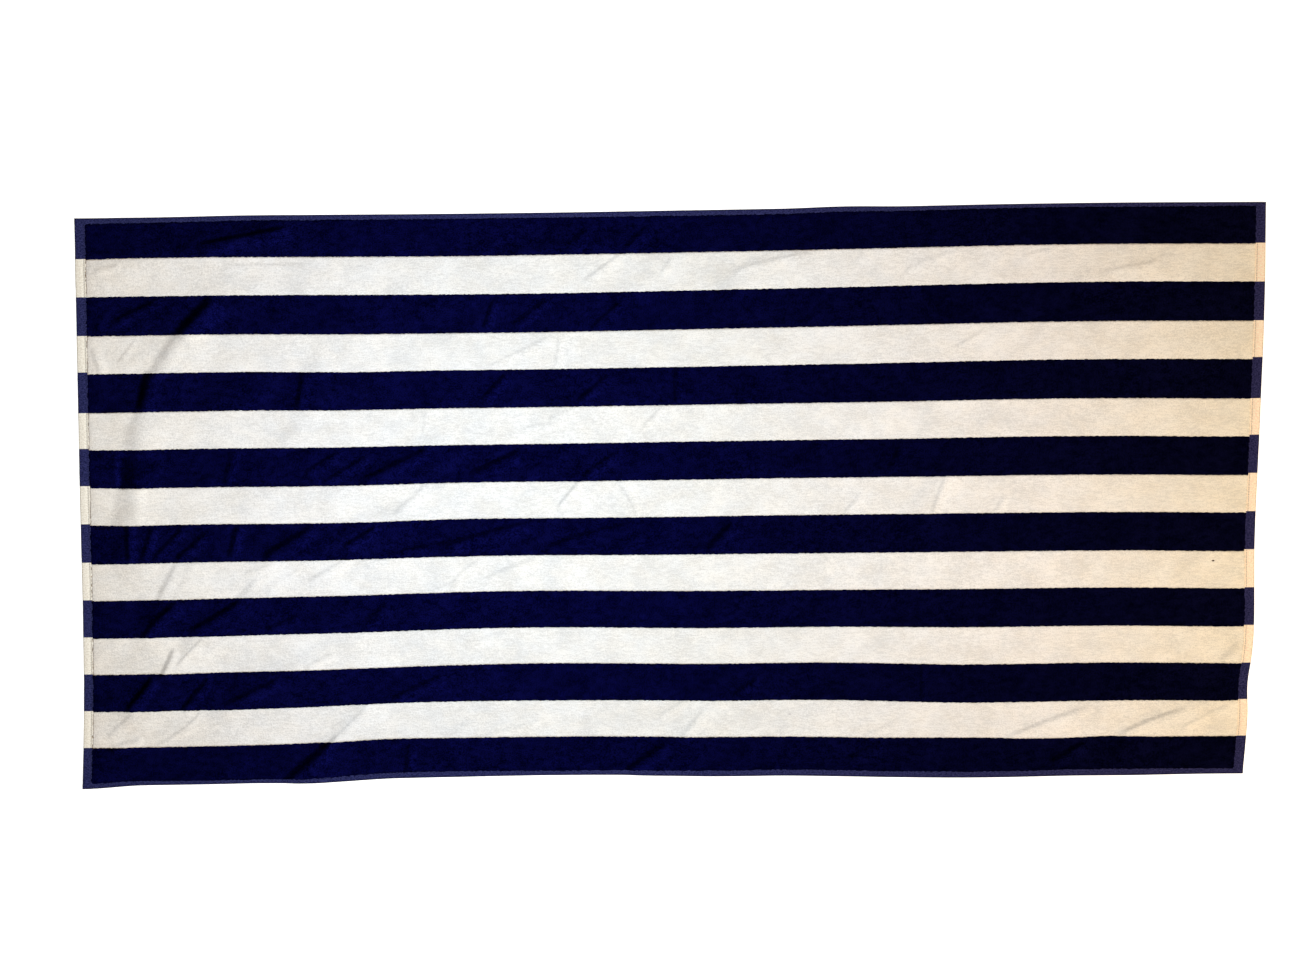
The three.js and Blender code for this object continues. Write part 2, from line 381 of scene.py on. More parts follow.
# Painted shade and highlight of the pile by its slope towards the painted light: (slope, brightness). The
# navy takes painted shade sooner.
WHITE_PAINTED_SLOPE_LIGHT = [(0.2, 1.07), (0.4, 1.035), (0.5, 1.0), (0.6, 0.93), (0.8, 0.80)]
NAVY_PAINTED_SLOPE_LIGHT = [(0.2, 1.9), (0.4, 1.45), (0.5, 1.0), (0.6, 0.5), (0.8, 0.14)]

# Tone of the pile as a sum of noises: (cells for each metre along, across and up, detail, share of the sum)
WHITE_NAP = [((620, 760, 620), 1.0, 0.42), ((130, 540, 130), 2.0, 0.34), ((22, 26, 22), 2.0, 0.24)]
NAVY_NAP = [((620, 760, 620), 1.0, 0.62), ((90, 150, 90), 2.0, 0.26), ((24, 26, 24), 2.0, 0.12)]

# Where the pile's three colours lie on that sum, and two tints or tones of yarn on their own noise
NAP_STOPS = (0.41, 0.50, 0.59)
TINT_STOPS = (0.35, 0.65)
SLUB_STOPS = (0.36, 0.64)

# Cells of the other noises for each metre, and the scale and waver of the weave's ribs
TINT_CELLS = (34, 44, 34)
TUFT_CELLS = (420, 420, 420)
FIBRE_CELLS = (1500, 1500, 1500)
SLUB_CELLS = (420, 560, 420)
YARN_CELLS = (900, 900, 900)
PLY_CELLS = (1400, 1400, 1400)
RIB_SCALE = 300.0
RIB_WAVER = 0.6

# Depths in metres of the patterns that are too fine for the meshes
TUFT_BUMP = 0.0008
FIBRE_BUMP = 0.0003
RIB_BUMP = 0.00025
YARN_BUMP = 0.0002
PLY_BUMP = 0.0002

# Painted shade along the towel's edge and beside a seam, by distance in widths of the edge's shade, and the
# tones of a ply
RIM_SHADE = [(0.0, (0.42, 0.42, 0.36)), (1.0, (1.0, 1.0, 1.0))]
FURROW_SHADE = [(0.2, (0.82, 0.82, 0.82)), (0.6, (1.0, 1.0, 1.0))]
PLY_SHADE = [(0.35, (0.8, 0.8, 0.8)), (0.65, (1.15, 1.15, 1.15))]

# Flecks on the white pile: place on the laid towel, length, width and colour. Past its core a fleck fades.
SPOT_CORE = 0.6
SPOTS = [
    (727, -92, 4.5, 2.6, (60, 38, 26)),
    (160, -293, 5.0, 2.4, (196, 194, 196)),
]

# Stitches of the hems' lock-stitch seams, and how unevenly they are set
STITCH_PITCH = 3.1
STITCH_LENGTH = 2.7
STITCH_RADIUS = 0.28
STITCH_SINK = 0.10
STITCH_STRAY = 0.06
STITCH_TURN = 0.05

# Form of one stitch: its sides and rings, how it tapers to its ends, and its rise and bow in radii
STITCH_SIDES = 5
STITCH_RINGS = 5
STITCH_TAPER = 0.75
STITCH_RISE = 0.9
STITCH_BOW = 1.6

# Camera over the towel, fitted to the photograph's corners and stripes: metres, degrees and its lens in mm
CAMERA_PLACE = (-0.0208, 0.1283, 1.6815)
CAMERA_TILT = -3.82
CAMERA_ROLL = -0.70
CAMERA_LENS = 35.0

# Lights and floor, in metres. Power is in watts, or in watts for each square metre for the sun.
COOL_POOL = {
    "place": (-0.24, 0.02, 1.0), "target": (-0.24, 0.0, 0.0), "size": 0.5,
    "power": 9.4, "colour": (0.70, 0.87, 1.0),
}
WARM_RIGHT = {
    "place": (1.0, -0.22, 0.8), "target": (0.86, -0.20, 0.0), "size": 0.5,
    "power": 3.1, "colour": (1.0, 0.80, 0.52),
}
SUN = {"way": (0.83, -0.22, 0.62), "spread": 10, "power": 1.45, "colour": (1.0, 0.9, 0.75)}
SURROUND = {"colour": (1.0, 0.68, 0.41), "strength": 0.29}
FLOOR = {"reach": 6.0, "level": -0.0002, "tone": 0.9, "glow": 0.7}


def smooth_table(table, column, at):
    """Smooth curve through one column of a table whose rows are in order of their place."""
    places, values = table["place"], table[column]
    rows = np.arange(len(table))
    before = np.maximum(rows - 1, 0)
    after = np.minimum(rows + 1, len(table) - 1)
    slopes = (values[after] - values[before]) / (places[after] - places[before])
    i = np.clip(np.searchsorted(places, at) - 1, 0, len(table) - 2)
    span = places[i + 1] - places[i]
    t = np.clip((at - places[i]) / span, 0, 1)
    leave = t * (1 - t) ** 2 * span * slopes[i]
    arrive = t * t * (t - 1) * span * slopes[i + 1]
    return values[i] + (values[i + 1] - values[i]) * t * t * (3 - 2 * t) + leave + arrive


def hump(distance):
    """Rounded hump: 1 at its middle, falling to 0 at a distance of 1 and staying there."""
    return 0.5 + 0.5 * np.cos(np.pi * np.clip(np.abs(distance), 0, 1))


def sway_at(along, across):
    """How far the slow bends push points of the flat towel across it."""
    total = np.zeros_like(along)
    for bend in BENDS:
        share_along = hump((along - bend["along"]) / bend["reach_along"])
        share_across = hump((across - bend["across"]) / bend["reach_across"])
        total += bend["sway"] * (share_along * share_across)
    return total


def warped(place, size, hem, low_share, high_share):
    """Places one way over the towel once the hems at its low and high edges have their own widths."""
    depth = size / 2 - np.abs(place)
    fade = np.clip(1 - (depth - hem) / HEM_BLEND, 0, 1)
    moved = np.minimum(depth, hem) * (np.where(place < 0, low_share, high_share) - 1) * fade
    return place - np.sign(place) * moved


def hem_warped(along, across):
    """Points of the flat towel once every hem is as wide as it should be there."""
    ends = (smooth_table(END_SHARES, side, across) for side in ("left", "right"))
    sides = (smooth_table(SIDE_SHARES, side, along) for side in ("near", "far"))
    return warped(along, LENGTH, END_HEM, *ends), warped(across, WIDTH, SIDE_HEM, *sides)


def pulled(along, across):
    """Where points of the flat towel lie once the ends are pulled and the stripes wander."""
    left = smooth_table(LEFT_PULL, "pull", across)
    right = smooth_table(RIGHT_PULL, "pull", across)
    x = along + left + (right - left) * (along / LENGTH + 0.5)
    return x, across + sway_at(along, across)


def footprint_middle():
    """The middle of the outline's box, which is the origin of the frame."""
    s = np.linspace(-0.5, 0.5, 400)
    along = np.concatenate([s * LENGTH, s * LENGTH, s * 0 - LENGTH / 2, s * 0 + LENGTH / 2])
    across = np.concatenate([s * 0 - WIDTH / 2, s * 0 + WIDTH / 2, s * WIDTH, s * WIDTH])
    x, y = pulled(along, across)
    return (x.min() + x.max()) / 2, (y.min() + y.max()) / 2


MIDDLE = footprint_middle()


def smooth_noise(along, across, grain):
    """Seeded value noise from -1 to 1, with cells as long and wide as `grain` says."""
    u = (along + LENGTH) / grain["along"]
    v = (across + WIDTH) / grain["across"]
    shape = (int(2 * LENGTH / grain["along"]) + 3, int(2 * WIDTH / grain["across"]) + 3)
    lattice = np.random.default_rng(grain["seed"]).uniform(-1, 1, shape)
    i, j = u.astype(int), v.astype(int)
    a, b = u - i, v - j
    a, b = a * a * (3 - 2 * a), b * b * (3 - 2 * b)
    near = lattice[i, j] * (1 - a) + lattice[i + 1, j] * a
    far = lattice[i, j + 1] * (1 - a) + lattice[i + 1, j + 1] * a
    return near * (1 - b) + far * b


def ridge_relief(ridge, x, y):
    """Height of one ridge over points near it: rounded, and fading out at both of its ends."""
    heading = np.radians(ridge["heading"])
    dx, dy = x - ridge["x"], y - ridge["y"]
    run = (dx * np.cos(heading) + dy * np.sin(heading)) / (ridge["length"] / 2)
    run = np.clip(run, -1, 1)
    aside = dy * np.cos(heading) - dx * np.sin(heading) - ridge["bow"] * (1 - run * run)
    aside += ridge["steep"] / 2
    reach = np.where(aside > 0, ridge["steep"], ridge["gentle"])
    return ridge["height"] * hump(aside / reach) * hump(run**4)


def near_ridge(ridge, x, y):
    """Which points a ridge can reach."""
    reach = ridge["length"] / 2 + max(ridge["steep"], ridge["gentle"]) + abs(ridge["bow"])
    return np.hypot(x - ridge["x"], y - ridge["y"]) < reach


def fold_height(x, y):
    """How far the soft folds raise the cloth. Where two meet, the higher one holds it up."""
    lift = np.zeros_like(x)
    for ridge in FOLDS:
        at = near_ridge(ridge, x, y)
        lift[at] = np.maximum(lift[at], ridge_relief(ridge, x[at], y[at]))
    return FOLD_SHARE * lift


def crease_height(x, y):
    """Relief of the narrow creases on top of the folds."""
    relief = np.zeros_like(x)
    for ridge in CREASES:
        at = near_ridge(ridge, x, y)
        relief[at] += ridge_relief(ridge, x[at], y[at])
    return relief


def ripple_height(x, y):
    """Faint long ripples, stronger towards the left end."""
    heading = np.radians(RIPPLE_HEADING)
    along = x * np.cos(heading) + y * np.sin(heading)
    across = y * np.cos(heading) - x * np.sin(heading)
    left, right = RIPPLE_SHARES
    share = left + (right - left) * (x / LENGTH + 0.5)
    return RIPPLE["height"] * share * smooth_noise(along, across, RIPPLE)


def pressed_height(x, y):
    """Creases and ripples together."""
    return crease_height(x, y) + ripple_height(x, y)


def lay(along, across, level):
    """Vertices in metres of points of the flat towel, `level` mm above its own underside."""
    x, y = pulled(*hem_warped(along, across))
    share = np.clip(level / GROUND_TOP, 0, 1)
    swell = SWELL["height"] * (1 + smooth_noise(along, across, SWELL))
    z = level + fold_height(x, y) + share * (swell + pressed_height(x, y))
    return np.stack([x - MIDDLE[0], y - MIDDLE[1], z], axis=-1) * MM


def grid_triangles(rows, columns, start=0):
    """Triangles of a grid of vertices, facing up, with the diagonals rising along the towel."""
    j, i = np.mgrid[: rows - 1, : columns - 1]
    a = start + j * columns + i
    b, c, d = a + 1, a + columns + 1, a + columns
    faces = np.stack([a, b, c, a, c, d], axis=-1)
    return faces.reshape(-1, 3)


def border_loop(rows, columns, start=0):
    """Vertex numbers around a grid, counterclockwise from its first corner."""
    index = start + np.arange(rows * columns).reshape(rows, columns)
    return np.concatenate([index[0, :-1], index[:-1, -1], index[-1, :0:-1], index[:0:-1, 0]])


def zipped(fine, coarse):
    """Triangles between a fine loop and a coarse one below it, whose corners match."""
    step = len(fine) // len(coarse)
    middle = step // 2
    faces = []
    for k, low in enumerate(coarse):
        following = coarse[(k + 1) % len(coarse)]
        points = [fine[(k * step + m) % len(fine)] for m in range(step + 1)]
        faces += [(low, points[m + 1], points[m]) for m in range(middle)]
        faces.append((low, following, points[middle]))
        faces += [(following, points[m + 1], points[m]) for m in range(middle, step)]
    return np.array(faces)


def closed_sheet(name, along, across, upper, under, thin):
    """A closed mesh between two surfaces over grid lines. The under one has every `thin`-th line."""
    top = upper(*np.meshgrid(along, across))
    low = under(*np.meshgrid(along[::thin], across[::thin]))
    rows, columns = top.shape[:2]
    low_rows, low_columns = low.shape[:2]
    start = rows * columns
    faces = [
        grid_triangles(rows, columns),
        grid_triangles(low_rows, low_columns, start)[:, ::-1],
        zipped(border_loop(rows, columns), border_loop(low_rows, low_columns, start)),
    ]
    vertices = np.concatenate([top.reshape(-1, 3), low.reshape(-1, 3)])
    return new_piece(name, vertices, np.concatenate(faces))


def new_piece(name, vertices, faces):
    """A smooth-shaded mesh object that rides with the towel."""
    mesh = bpy.data.meshes.new(name)
    mesh.from_pydata(vertices, [], faces)
    mesh.shade_smooth()
    piece = bpy.data.objects.new(name, mesh)
    bpy.context.scene.collection.objects.link(piece)
    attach(piece, "root")
    return piece


def even_lines(start, stop, cell, multiple):
    """Grid lines from start to stop, about `cell` apart, in a number of cells that `multiple` divides."""
    cells = multiple * max(1, round((stop - start) / cell / multiple))
    return np.linspace(start, stop, cells + 1)


def cloth_lines(size, hem, seam):
    """Grid lines of the cloth: close together over the rim, the seam and the hem's inner edge."""
    around_seam = [seam + offset for offset in SEAM_LINES]
    midway = (RIM + around_seam[0]) / 2
    edge = size / 2 - np.array([*RIM_LINES, RIM, midway, *around_seam, hem, hem + HEM_LINE])
    inner = even_lines(-edge[-1], edge[-1], CLOTH_CELL, CLOTH_THIN)
    return np.concatenate([-edge[:-1], inner, edge[:-1][::-1]])


def seam_dip(depth, seam):
    """How far the seam's thread pulls the hem down, at a depth in from the edge."""
    return SEAM_DIP * np.exp(-(((depth - seam) / SEAM_SPREAD) ** 2))


def cloth_level(along, across):
    """Thickness of the cloth: the ground weave, or the folded hems with their seams."""
    end_depth = LENGTH / 2 - np.abs(along)
    side_depth = WIDTH / 2 - np.abs(across)
    in_end = np.clip((END_HEM + END_STEP_STOP - end_depth) / HEM_STEP, 0, 1)
    in_side = np.clip((SIDE_HEM + SIDE_STEP_STOP - side_depth) / HEM_STEP, 0, 1)
    end = in_end * (HEM_TOP - GROUND_TOP - seam_dip(end_depth, END_SEAM))
    side = in_side * (HEM_TOP - GROUND_TOP - seam_dip(side_depth, SIDE_SEAM))
    return GROUND_TOP + np.maximum(end, side) + CORNER_LIFT * in_end * in_side


def rim_share(along, across):
    """0 at the outer edge, rising in a quarter round to 1 past the rim."""
    depth = np.minimum(LENGTH / 2 - np.abs(along), WIDTH / 2 - np.abs(across))
    return np.sqrt(1 - (1 - np.clip(depth / RIM, 0, 1)) ** 2)


def cloth_upper(along, across):
    """The cloth's upper face, which turns down to half of a hem's height at the outer edge."""
    share = rim_share(along, across)
    half = HEM_TOP / 2
    return lay(along, across, half + (cloth_level(along, across) - half) * share)


def cloth_under(along, across):
    """The cloth's under face, which turns up to meet the upper one at the outer edge."""
    share = rim_share(along, across)
    return lay(along, across, HEM_TOP / 2 * (1 - share))


def stripe_edges():
    """Places across the towel where each stripe starts and the last one ends."""
    widths = [NEAR_NAVY] + [WHITE, NAVY] * (WHITE_STRIPES - 1) + [WHITE, FAR_NAVY]
    return -WIDTH / 2 + np.concatenate([[0], np.cumsum(widths)])


def make_cloth():
    """The woven sheet with its four hems. The pile covers it between them."""
    along = cloth_lines(LENGTH, END_HEM, END_SEAM)
    across = cloth_lines(WIDTH, SIDE_HEM, SIDE_SEAM)
    cloth = closed_sheet("towel_cloth", along, across, cloth_upper, cloth_under, CLOTH_THIN)
    faces = [np.meshgrid(along[::thin], across[::thin]) for thin in (1, CLOTH_THIN)]
    add_flat_map(cloth, *(np.concatenate([face[k].ravel() for face in faces]) for k in (0, 1)))
    return cloth


def add_flat_map(piece, along, across):
    """A UV map with each vertex's place on the flat towel, from 0 to 1."""
    places = np.stack([along / LENGTH + 0.5, across / WIDTH + 0.5], axis=-1)
    corners = np.empty(len(piece.data.loops), int)
    piece.data.loops.foreach_get("vertex_index", corners)
    flat = piece.data.uv_layers.new(name="flat")
    flat.data.foreach_set("uv", places[corners].astype(np.float32).ravel())


def painted_light_relief(x, y):
    """The relief whose slopes get painted shade and highlight on the pile: all of the creases, and a little
    of the soft folds.
    """
    return FOLD_PAINTED_LIGHT * fold_height(x, y) + pressed_height(x, y)


def add_painted_slope_light(pile, along, across):
    """Painted light and shade by the slope of the pile's upper face: half where it is level, more (painted
    shade) where it rises towards the painted light, less (painted highlight) where it falls.
    """
    a, b = np.meshgrid(along, across)
    x, y = pulled(*hem_warped(a, b))
    step_x, step_y = PAINTED_LIGHT_STEP * PAINTED_LIGHT_WAY[0], PAINTED_LIGHT_STEP * PAINTED_LIGHT_WAY[1]
    ahead, behind = (painted_light_relief(x + side * step_x, y + side * step_y) for side in (1, -1))
    painted_slope_light = np.full(len(pile.data.vertices), 0.5, np.float32)
    painted_slope_light[: x.size] = np.clip(0.5 + (ahead - behind) / (2 * PAINTED_LIGHT_STEP), 0, 1).ravel()
    pile.data.attributes.new("painted_slope_light", "FLOAT", "POINT").data.foreach_set("value", painted_slope_light)


def frayed(count, seed, size):
    """Uneven line of pile tufts: a small seeded offset for each of them."""
    return size * np.random.default_rng(seed).uniform(-1, 1, count)


def make_pile(number, low, high, colour):
    """One stripe of sheared pile, standing on the ground weave between two of its edges."""
    end = LENGTH / 2 - END_HEM
    along = even_lines(-end, end, PILE_CELL, PILE_THIN)
    across = even_lines(low, high, PILE_CELL, PILE_THIN)
    first, last = low <= -WIDTH / 2 + SIDE_HEM, high >= WIDTH / 2 - SIDE_HEM
    grain = np.random.default_rng(GRAIN_SEED + number)

    # Two neighbours share the seed of the edge between them. The ends have an offset for each millimetre.
    low_edge = frayed(len(along), STRIPE_SEED + number, HEM_FRAY if first else PILE_FRAY)
    high_edge = frayed(len(along), STRIPE_SEED + number + 1, HEM_FRAY if last else PILE_FRAY)
    left_end, right_end = (frayed(int(2 * WIDTH), END_SEED + side, HEM_FRAY) for side in (0, 1))

    def edge_drop(a, b):
        """How far the pile falls at its edges: to the hem at an end, slightly where two stripes meet."""
        to_end = np.clip((end - np.abs(a)) / END_SLOPE, 0, 1)
        drop = (PILE_TOP - HEM_TOP) * (1 - to_end) ** END_SLOPE_POWER
        for inward, at_hem in ((b - low, first), (high - b, last)):
            shoulder = HEM_SHOULDER if at_hem else STRIPE_SHOULDER
            share = np.clip(inward / shoulder["width"], 0, 1)
            drop = np.maximum(drop, shoulder["drop"] * (1 - share) ** 2)
        return drop

    def upper(a, b):
        """The pile's uneven upper face, frayed along its four edges."""
        relief = sum(part["height"] * smooth_noise(a, b, part) for part in (MOTTLE, STREAK))
        level = PILE_TOP - edge_drop(a, b) + relief + GRAIN * grain.uniform(-1, 1, a.shape)
        b = b.copy()
        b[0] += low_edge
        b[-1] += high_edge
        a = a.copy()
        place = (b[:, 0] + WIDTH).astype(int)
        a[:, 0] += left_end[place]
        a[:, -1] += right_end[place]
        return lay(a, b, level)

    def under(a, b):
        """The pile's hidden under face, drawn in a little and sunk into the ground weave."""
        a = np.clip(a, -end + PILE_INSET, end - PILE_INSET)
        b = np.clip(b, low + PILE_INSET, high - PILE_INSET)
        return lay(a, b, np.full(a.shape, GROUND_TOP - PILE_SINK))

    pile = closed_sheet(f"pile_{colour}_{number // 2 + 1}", along, across, upper, under, PILE_THIN)
    add_painted_slope_light(pile, along, across)
    return pile


def stitch_template():
    """One stitch as a bowed spindle of thread along +X: its vertices and faces."""
    sides, rings = STITCH_SIDES, STITCH_RINGS
    t = np.linspace(-1, 1, rings)
    thick = STITCH_RADIUS * np.sqrt(1 - STITCH_TAPER * t**4)
    rise = STITCH_RADIUS * (STITCH_RISE - STITCH_BOW * t**4)
    turn = np.arange(sides) * 2 * np.pi / sides
    ring = np.stack(
        [
            np.repeat(t * STITCH_LENGTH / 2, sides),
            np.outer(thick, np.cos(turn)).ravel(),
            (rise[:, None] + np.outer(thick, np.sin(turn))).ravel(),
        ],
        axis=-1,
    )
    ends = np.array([[-STITCH_LENGTH / 2, 0, rise[0]], [STITCH_LENGTH / 2, 0, rise[-1]]])
    faces = []
    for r in range(rings - 1):
        for s in range(sides):
            a, b = r * sides + s, r * sides + (s + 1) % sides
            faces += [(a, a + sides, b + sides), (a, b + sides, b)]
    first, second = rings * sides, rings * sides + 1
    last = (rings - 1) * sides
    for s in range(sides):
        following = (s + 1) % sides
        faces += [(first, s, following), (second, last + following, last + s)]
    return np.concatenate([ring, ends]), np.array(faces)


def make_seam(name, start, stop, seed):
    """A row of lock stitches from one place of the flat towel to another."""
    start, stop = np.array(start, float), np.array(stop, float)
    run = np.linalg.norm(stop - start)
    way = (stop - start) / run
    count = int(run / STITCH_PITCH)
    random = np.random.default_rng(seed)
    middles = start + np.outer((np.arange(count) + 0.5) * run / count, way)
    middles += random.normal(0, STITCH_STRAY, (count, 2))
    turn = random.normal(0, STITCH_TURN, count)
    shape, faces = stitch_template()
    cos, sin = np.cos(turn)[:, None], np.sin(turn)[:, None]
    u = shape[:, 0] * cos - shape[:, 1] * sin
    v = shape[:, 0] * sin + shape[:, 1] * cos
    along = middles[:, :1] + u * way[0] - v * way[1]
    across = middles[:, 1:] + u * way[1] + v * way[0]
    level = cloth_level(along, across) + shape[:, 2] - STITCH_SINK
    vertices = lay(along, across, level).reshape(-1, 3)
    numbers = faces[None] + (np.arange(count) * len(shape))[:, None, None]
    seam = new_piece(name, vertices, numbers.reshape(-1, 3))
    add_flat_map(seam, along.ravel(), across.ravel())
    return seam


def make_seams():
    """The seams of the two end hems and the two side hems."""
    end, side = LENGTH / 2 - END_SEAM, WIDTH / 2 - SIDE_SEAM
    reach_across, reach_along = WIDTH / 2 - SEAM_STOP, LENGTH / 2 - END_HEM
    return [
        make_seam("stitches_left_end", (-end, -reach_across), (-end, reach_across), 11),
        make_seam("stitches_right_end", (end, -reach_across), (end, reach_across), 12),
        make_seam("stitches_near_side", (-reach_along, -side), (reach_along, -side), 13),
        make_seam("stitches_far_side", (-reach_along, side), (reach_along, side), 14),
    ]


class Shading:
    """A material's node tree and its main shader, with short ways to add nodes."""

    def __init__(self, name, roughness):
        self.material = bpy.data.materials.new(name)
        self.material.use_nodes = True
        self.tree = self.material.node_tree
        self.shader = self.tree.nodes["Principled BSDF"]
        self.shader.inputs["Roughness"].default_value = roughness
        self.shader.inputs["Specular IOR Level"].default_value = 0.0
        self.place = self.node("ShaderNodeTexCoord").outputs["Object"]

    def node(self, kind, **settings):
        """A new node with its settings."""
        made = self.tree.nodes.new(kind)
        for key, value in settings.items():
            setattr(made, key, value)
        return made

    def link(self, output, socket):
        """Joins an output to a socket."""
        self.tree.links.new(output, socket)

    def stretched(self, scale):
        """Object coordinates times a scale for each axis, in cells for each metre."""
        mapping = self.node("ShaderNodeMapping")
        mapping.inputs["Scale"].default_value = scale
        self.link(self.place, mapping.inputs["Vector"])
        return mapping.outputs["Vector"]

    def noise(self, scale, detail=2.0, roughness=0.55):
        """Noise from 0 to 1, with a number of cells for each metre along, across and up."""
        texture = self.node("ShaderNodeTexNoise")
        texture.inputs["Scale"].default_value = 1.0
        texture.inputs["Detail"].default_value = detail
        texture.inputs["Roughness"].default_value = roughness
        self.link(self.stretched(scale), texture.inputs["Vector"])
        return texture.outputs["Fac"]

    def maths(self, operation, a, b=0.0):
        """The result of an operation on two values, each a number or an output."""
        made = self.node("ShaderNodeMath", operation=operation)
        for socket, value in zip(made.inputs, (a, b)):
            if isinstance(value, (int, float)):
                socket.default_value = value
            else:
                self.link(value, socket)
        return made.outputs["Value"]

    def ramp(self, share, stops, interpolation="LINEAR"):
        """A colour ramp over (place, colour) stops."""
        made = self.node("ShaderNodeValToRGB")
        made.color_ramp.interpolation = interpolation
        elements = made.color_ramp.elements
        while len(elements) > 1:
            elements.remove(elements[-1])
        elements[0].position, elements[0].color = stops[0][0], (*stops[0][1], 1)
        for position, colour in stops[1:]:
            elements.new(position).color = (*colour, 1)
        self.link(share, made.inputs["Fac"])
        return made.outputs["Color"]

    def mix(self, share, a, b, blend="MIX"):
        """Two colours mixed or multiplied by a share."""
        made = self.node("ShaderNodeMix", data_type="RGBA", blend_type=blend)
        names = {s.identifier: s for s in made.inputs}
        sockets = (names["Factor_Float"], names["A_Color"], names["B_Color"])
        for socket, value in zip(sockets, (share, a, b)):
            if isinstance(value, (int, float)):
                socket.default_value = value
            elif isinstance(value, tuple):
                socket.default_value = (*value, 1)
            else:
                self.link(value, socket)
        return [s for s in made.outputs if s.identifier == "Result_Color"][0]

    def bump(self, height, distance, strength, after=None):
        """A normal for relief of a depth in metres, on top of another one if it is given."""
        made = self.node("ShaderNodeBump")
        made.inputs["Distance"].default_value = distance
        made.inputs["Strength"].default_value = strength
        self.link(height, made.inputs["Height"])
        if after:
            self.link(after, made.inputs["Normal"])
        return made.outputs["Normal"]

    def along_towel(self, tones):
        """Tone that changes slowly along the towel, from (place in millimetres, tone) pairs."""
        parts = self.node("ShaderNodeSeparateXYZ")
        self.link(self.place, parts.inputs["Vector"])
        share = self.maths("ADD", self.maths("DIVIDE", parts.outputs["X"], TONE_SPAN * MM), 0.5)
        return self.ramp(share, [(place / TONE_SPAN + 0.5, tone) for place, tone in tones])

    def flat_places(self):
        """The flat map's places along and across the towel, each from 0 to 1."""
        parts = self.node("ShaderNodeSeparateXYZ")
        self.link(self.node("ShaderNodeUVMap", uv_map="flat").outputs["UV"], parts.inputs["Vector"])
        return parts.outputs["X"], parts.outputs["Y"]

    def edge_depth(self, share, size):
        """Depth in from the nearer of two edges, in widths of their shade, from a place from 0 to 1."""
        from_middle = self.maths("ABSOLUTE", self.maths("SUBTRACT", share, 0.5))
        return self.maths("MULTIPLY", self.maths("SUBTRACT", 0.5, from_middle), size / EDGE_SHADE)

    def furrow(self, depth, seam):
        """Painted shade along the furrow that a seam pulls into a hem, from the depth in from the edge."""
        distance = self.maths("ABSOLUTE", self.maths("SUBTRACT", depth, seam / EDGE_SHADE))
        return self.ramp(distance, FURROW_SHADE)

    def striped(self, across, colours):
        """The towel's stripes in a navy and a white, from the flat map's place across it."""
        edges = stripe_edges() / WIDTH + 0.5
        stops = [(edge, linear(*colours[k % 2])) for k, edge in enumerate(edges[:-1])]
        return self.ramp(across, stops, "CONSTANT")

    def spotted(self, colour, x, y, length, width, shade):
        """A small soft fleck of another colour at a place of the laid towel."""
        x, y = x - MIDDLE[0], y - MIDDLE[1]
        mapping = self.node("ShaderNodeMapping")
        mapping.inputs["Scale"].default_value = (2 / (length * MM), 2 / (width * MM), 0)
        mapping.inputs["Location"].default_value = (-2 * x / length, -2 * y / width, 0)
        self.link(self.place, mapping.inputs["Vector"])
        distance = self.node("ShaderNodeVectorMath", operation="LENGTH")
        self.link(mapping.outputs["Vector"], distance.inputs[0])
        share = self.ramp(distance.outputs["Value"], [(SPOT_CORE, (1, 1, 1)), (1.0, (0, 0, 0))])
        return self.mix(share, colour, linear(*shade))

    def finish(self, colour, normal):
        """The material, once its shader has its colour and its normal."""
        self.link(colour, self.shader.inputs["Base Color"])
        self.link(normal, self.shader.inputs["Normal"])
        return self.material


def pile_shading(name, colours, tints, ends, painted_slope_lights, nap, spots=()):
    """Sheared cotton pile: a nap of several noises, painted shade and highlight by the slope of its creases
    and folds, a tone along the towel that is partly painted warm light, and a fibrous bump.
    """
    s = Shading(name, roughness=1.0)
    share = 0.0
    for scale, detail, weight in nap:
        share = s.maths("ADD", s.maths("MULTIPLY", s.noise(scale, detail), weight), share)
    colour = s.ramp(share, [(stop, linear(*colour)) for stop, colour in zip(NAP_STOPS, colours)])
    tint = s.ramp(s.noise(TINT_CELLS), list(zip(TINT_STOPS, tints)))
    colour = s.mix(1.0, colour, tint, "MULTIPLY")
    # Tone along the towel: painted warm light towards the right end, with some yellowing in the white
    colour = s.mix(1.0, colour, s.along_towel(ends), "MULTIPLY")
    # Painted shade and highlight, by each slope's rise towards the painted light
    painted_slope_light = s.node("ShaderNodeAttribute", attribute_type="GEOMETRY", attribute_name="painted_slope_light").outputs["Fac"]
    painted_slope_tone = s.ramp(painted_slope_light, [(place, (bright,) * 3) for place, bright in painted_slope_lights])
    colour = s.mix(1.0, colour, painted_slope_tone, "MULTIPLY")
    for spot in spots:
        colour = s.spotted(colour, *spot)
    normal = s.bump(s.noise(TUFT_CELLS, detail=1.0), TUFT_BUMP, strength=0.8)
    normal = s.bump(s.noise(FIBRE_CELLS, roughness=0.7), FIBRE_BUMP, strength=0.6, after=normal)
    return s.finish(colour, normal)


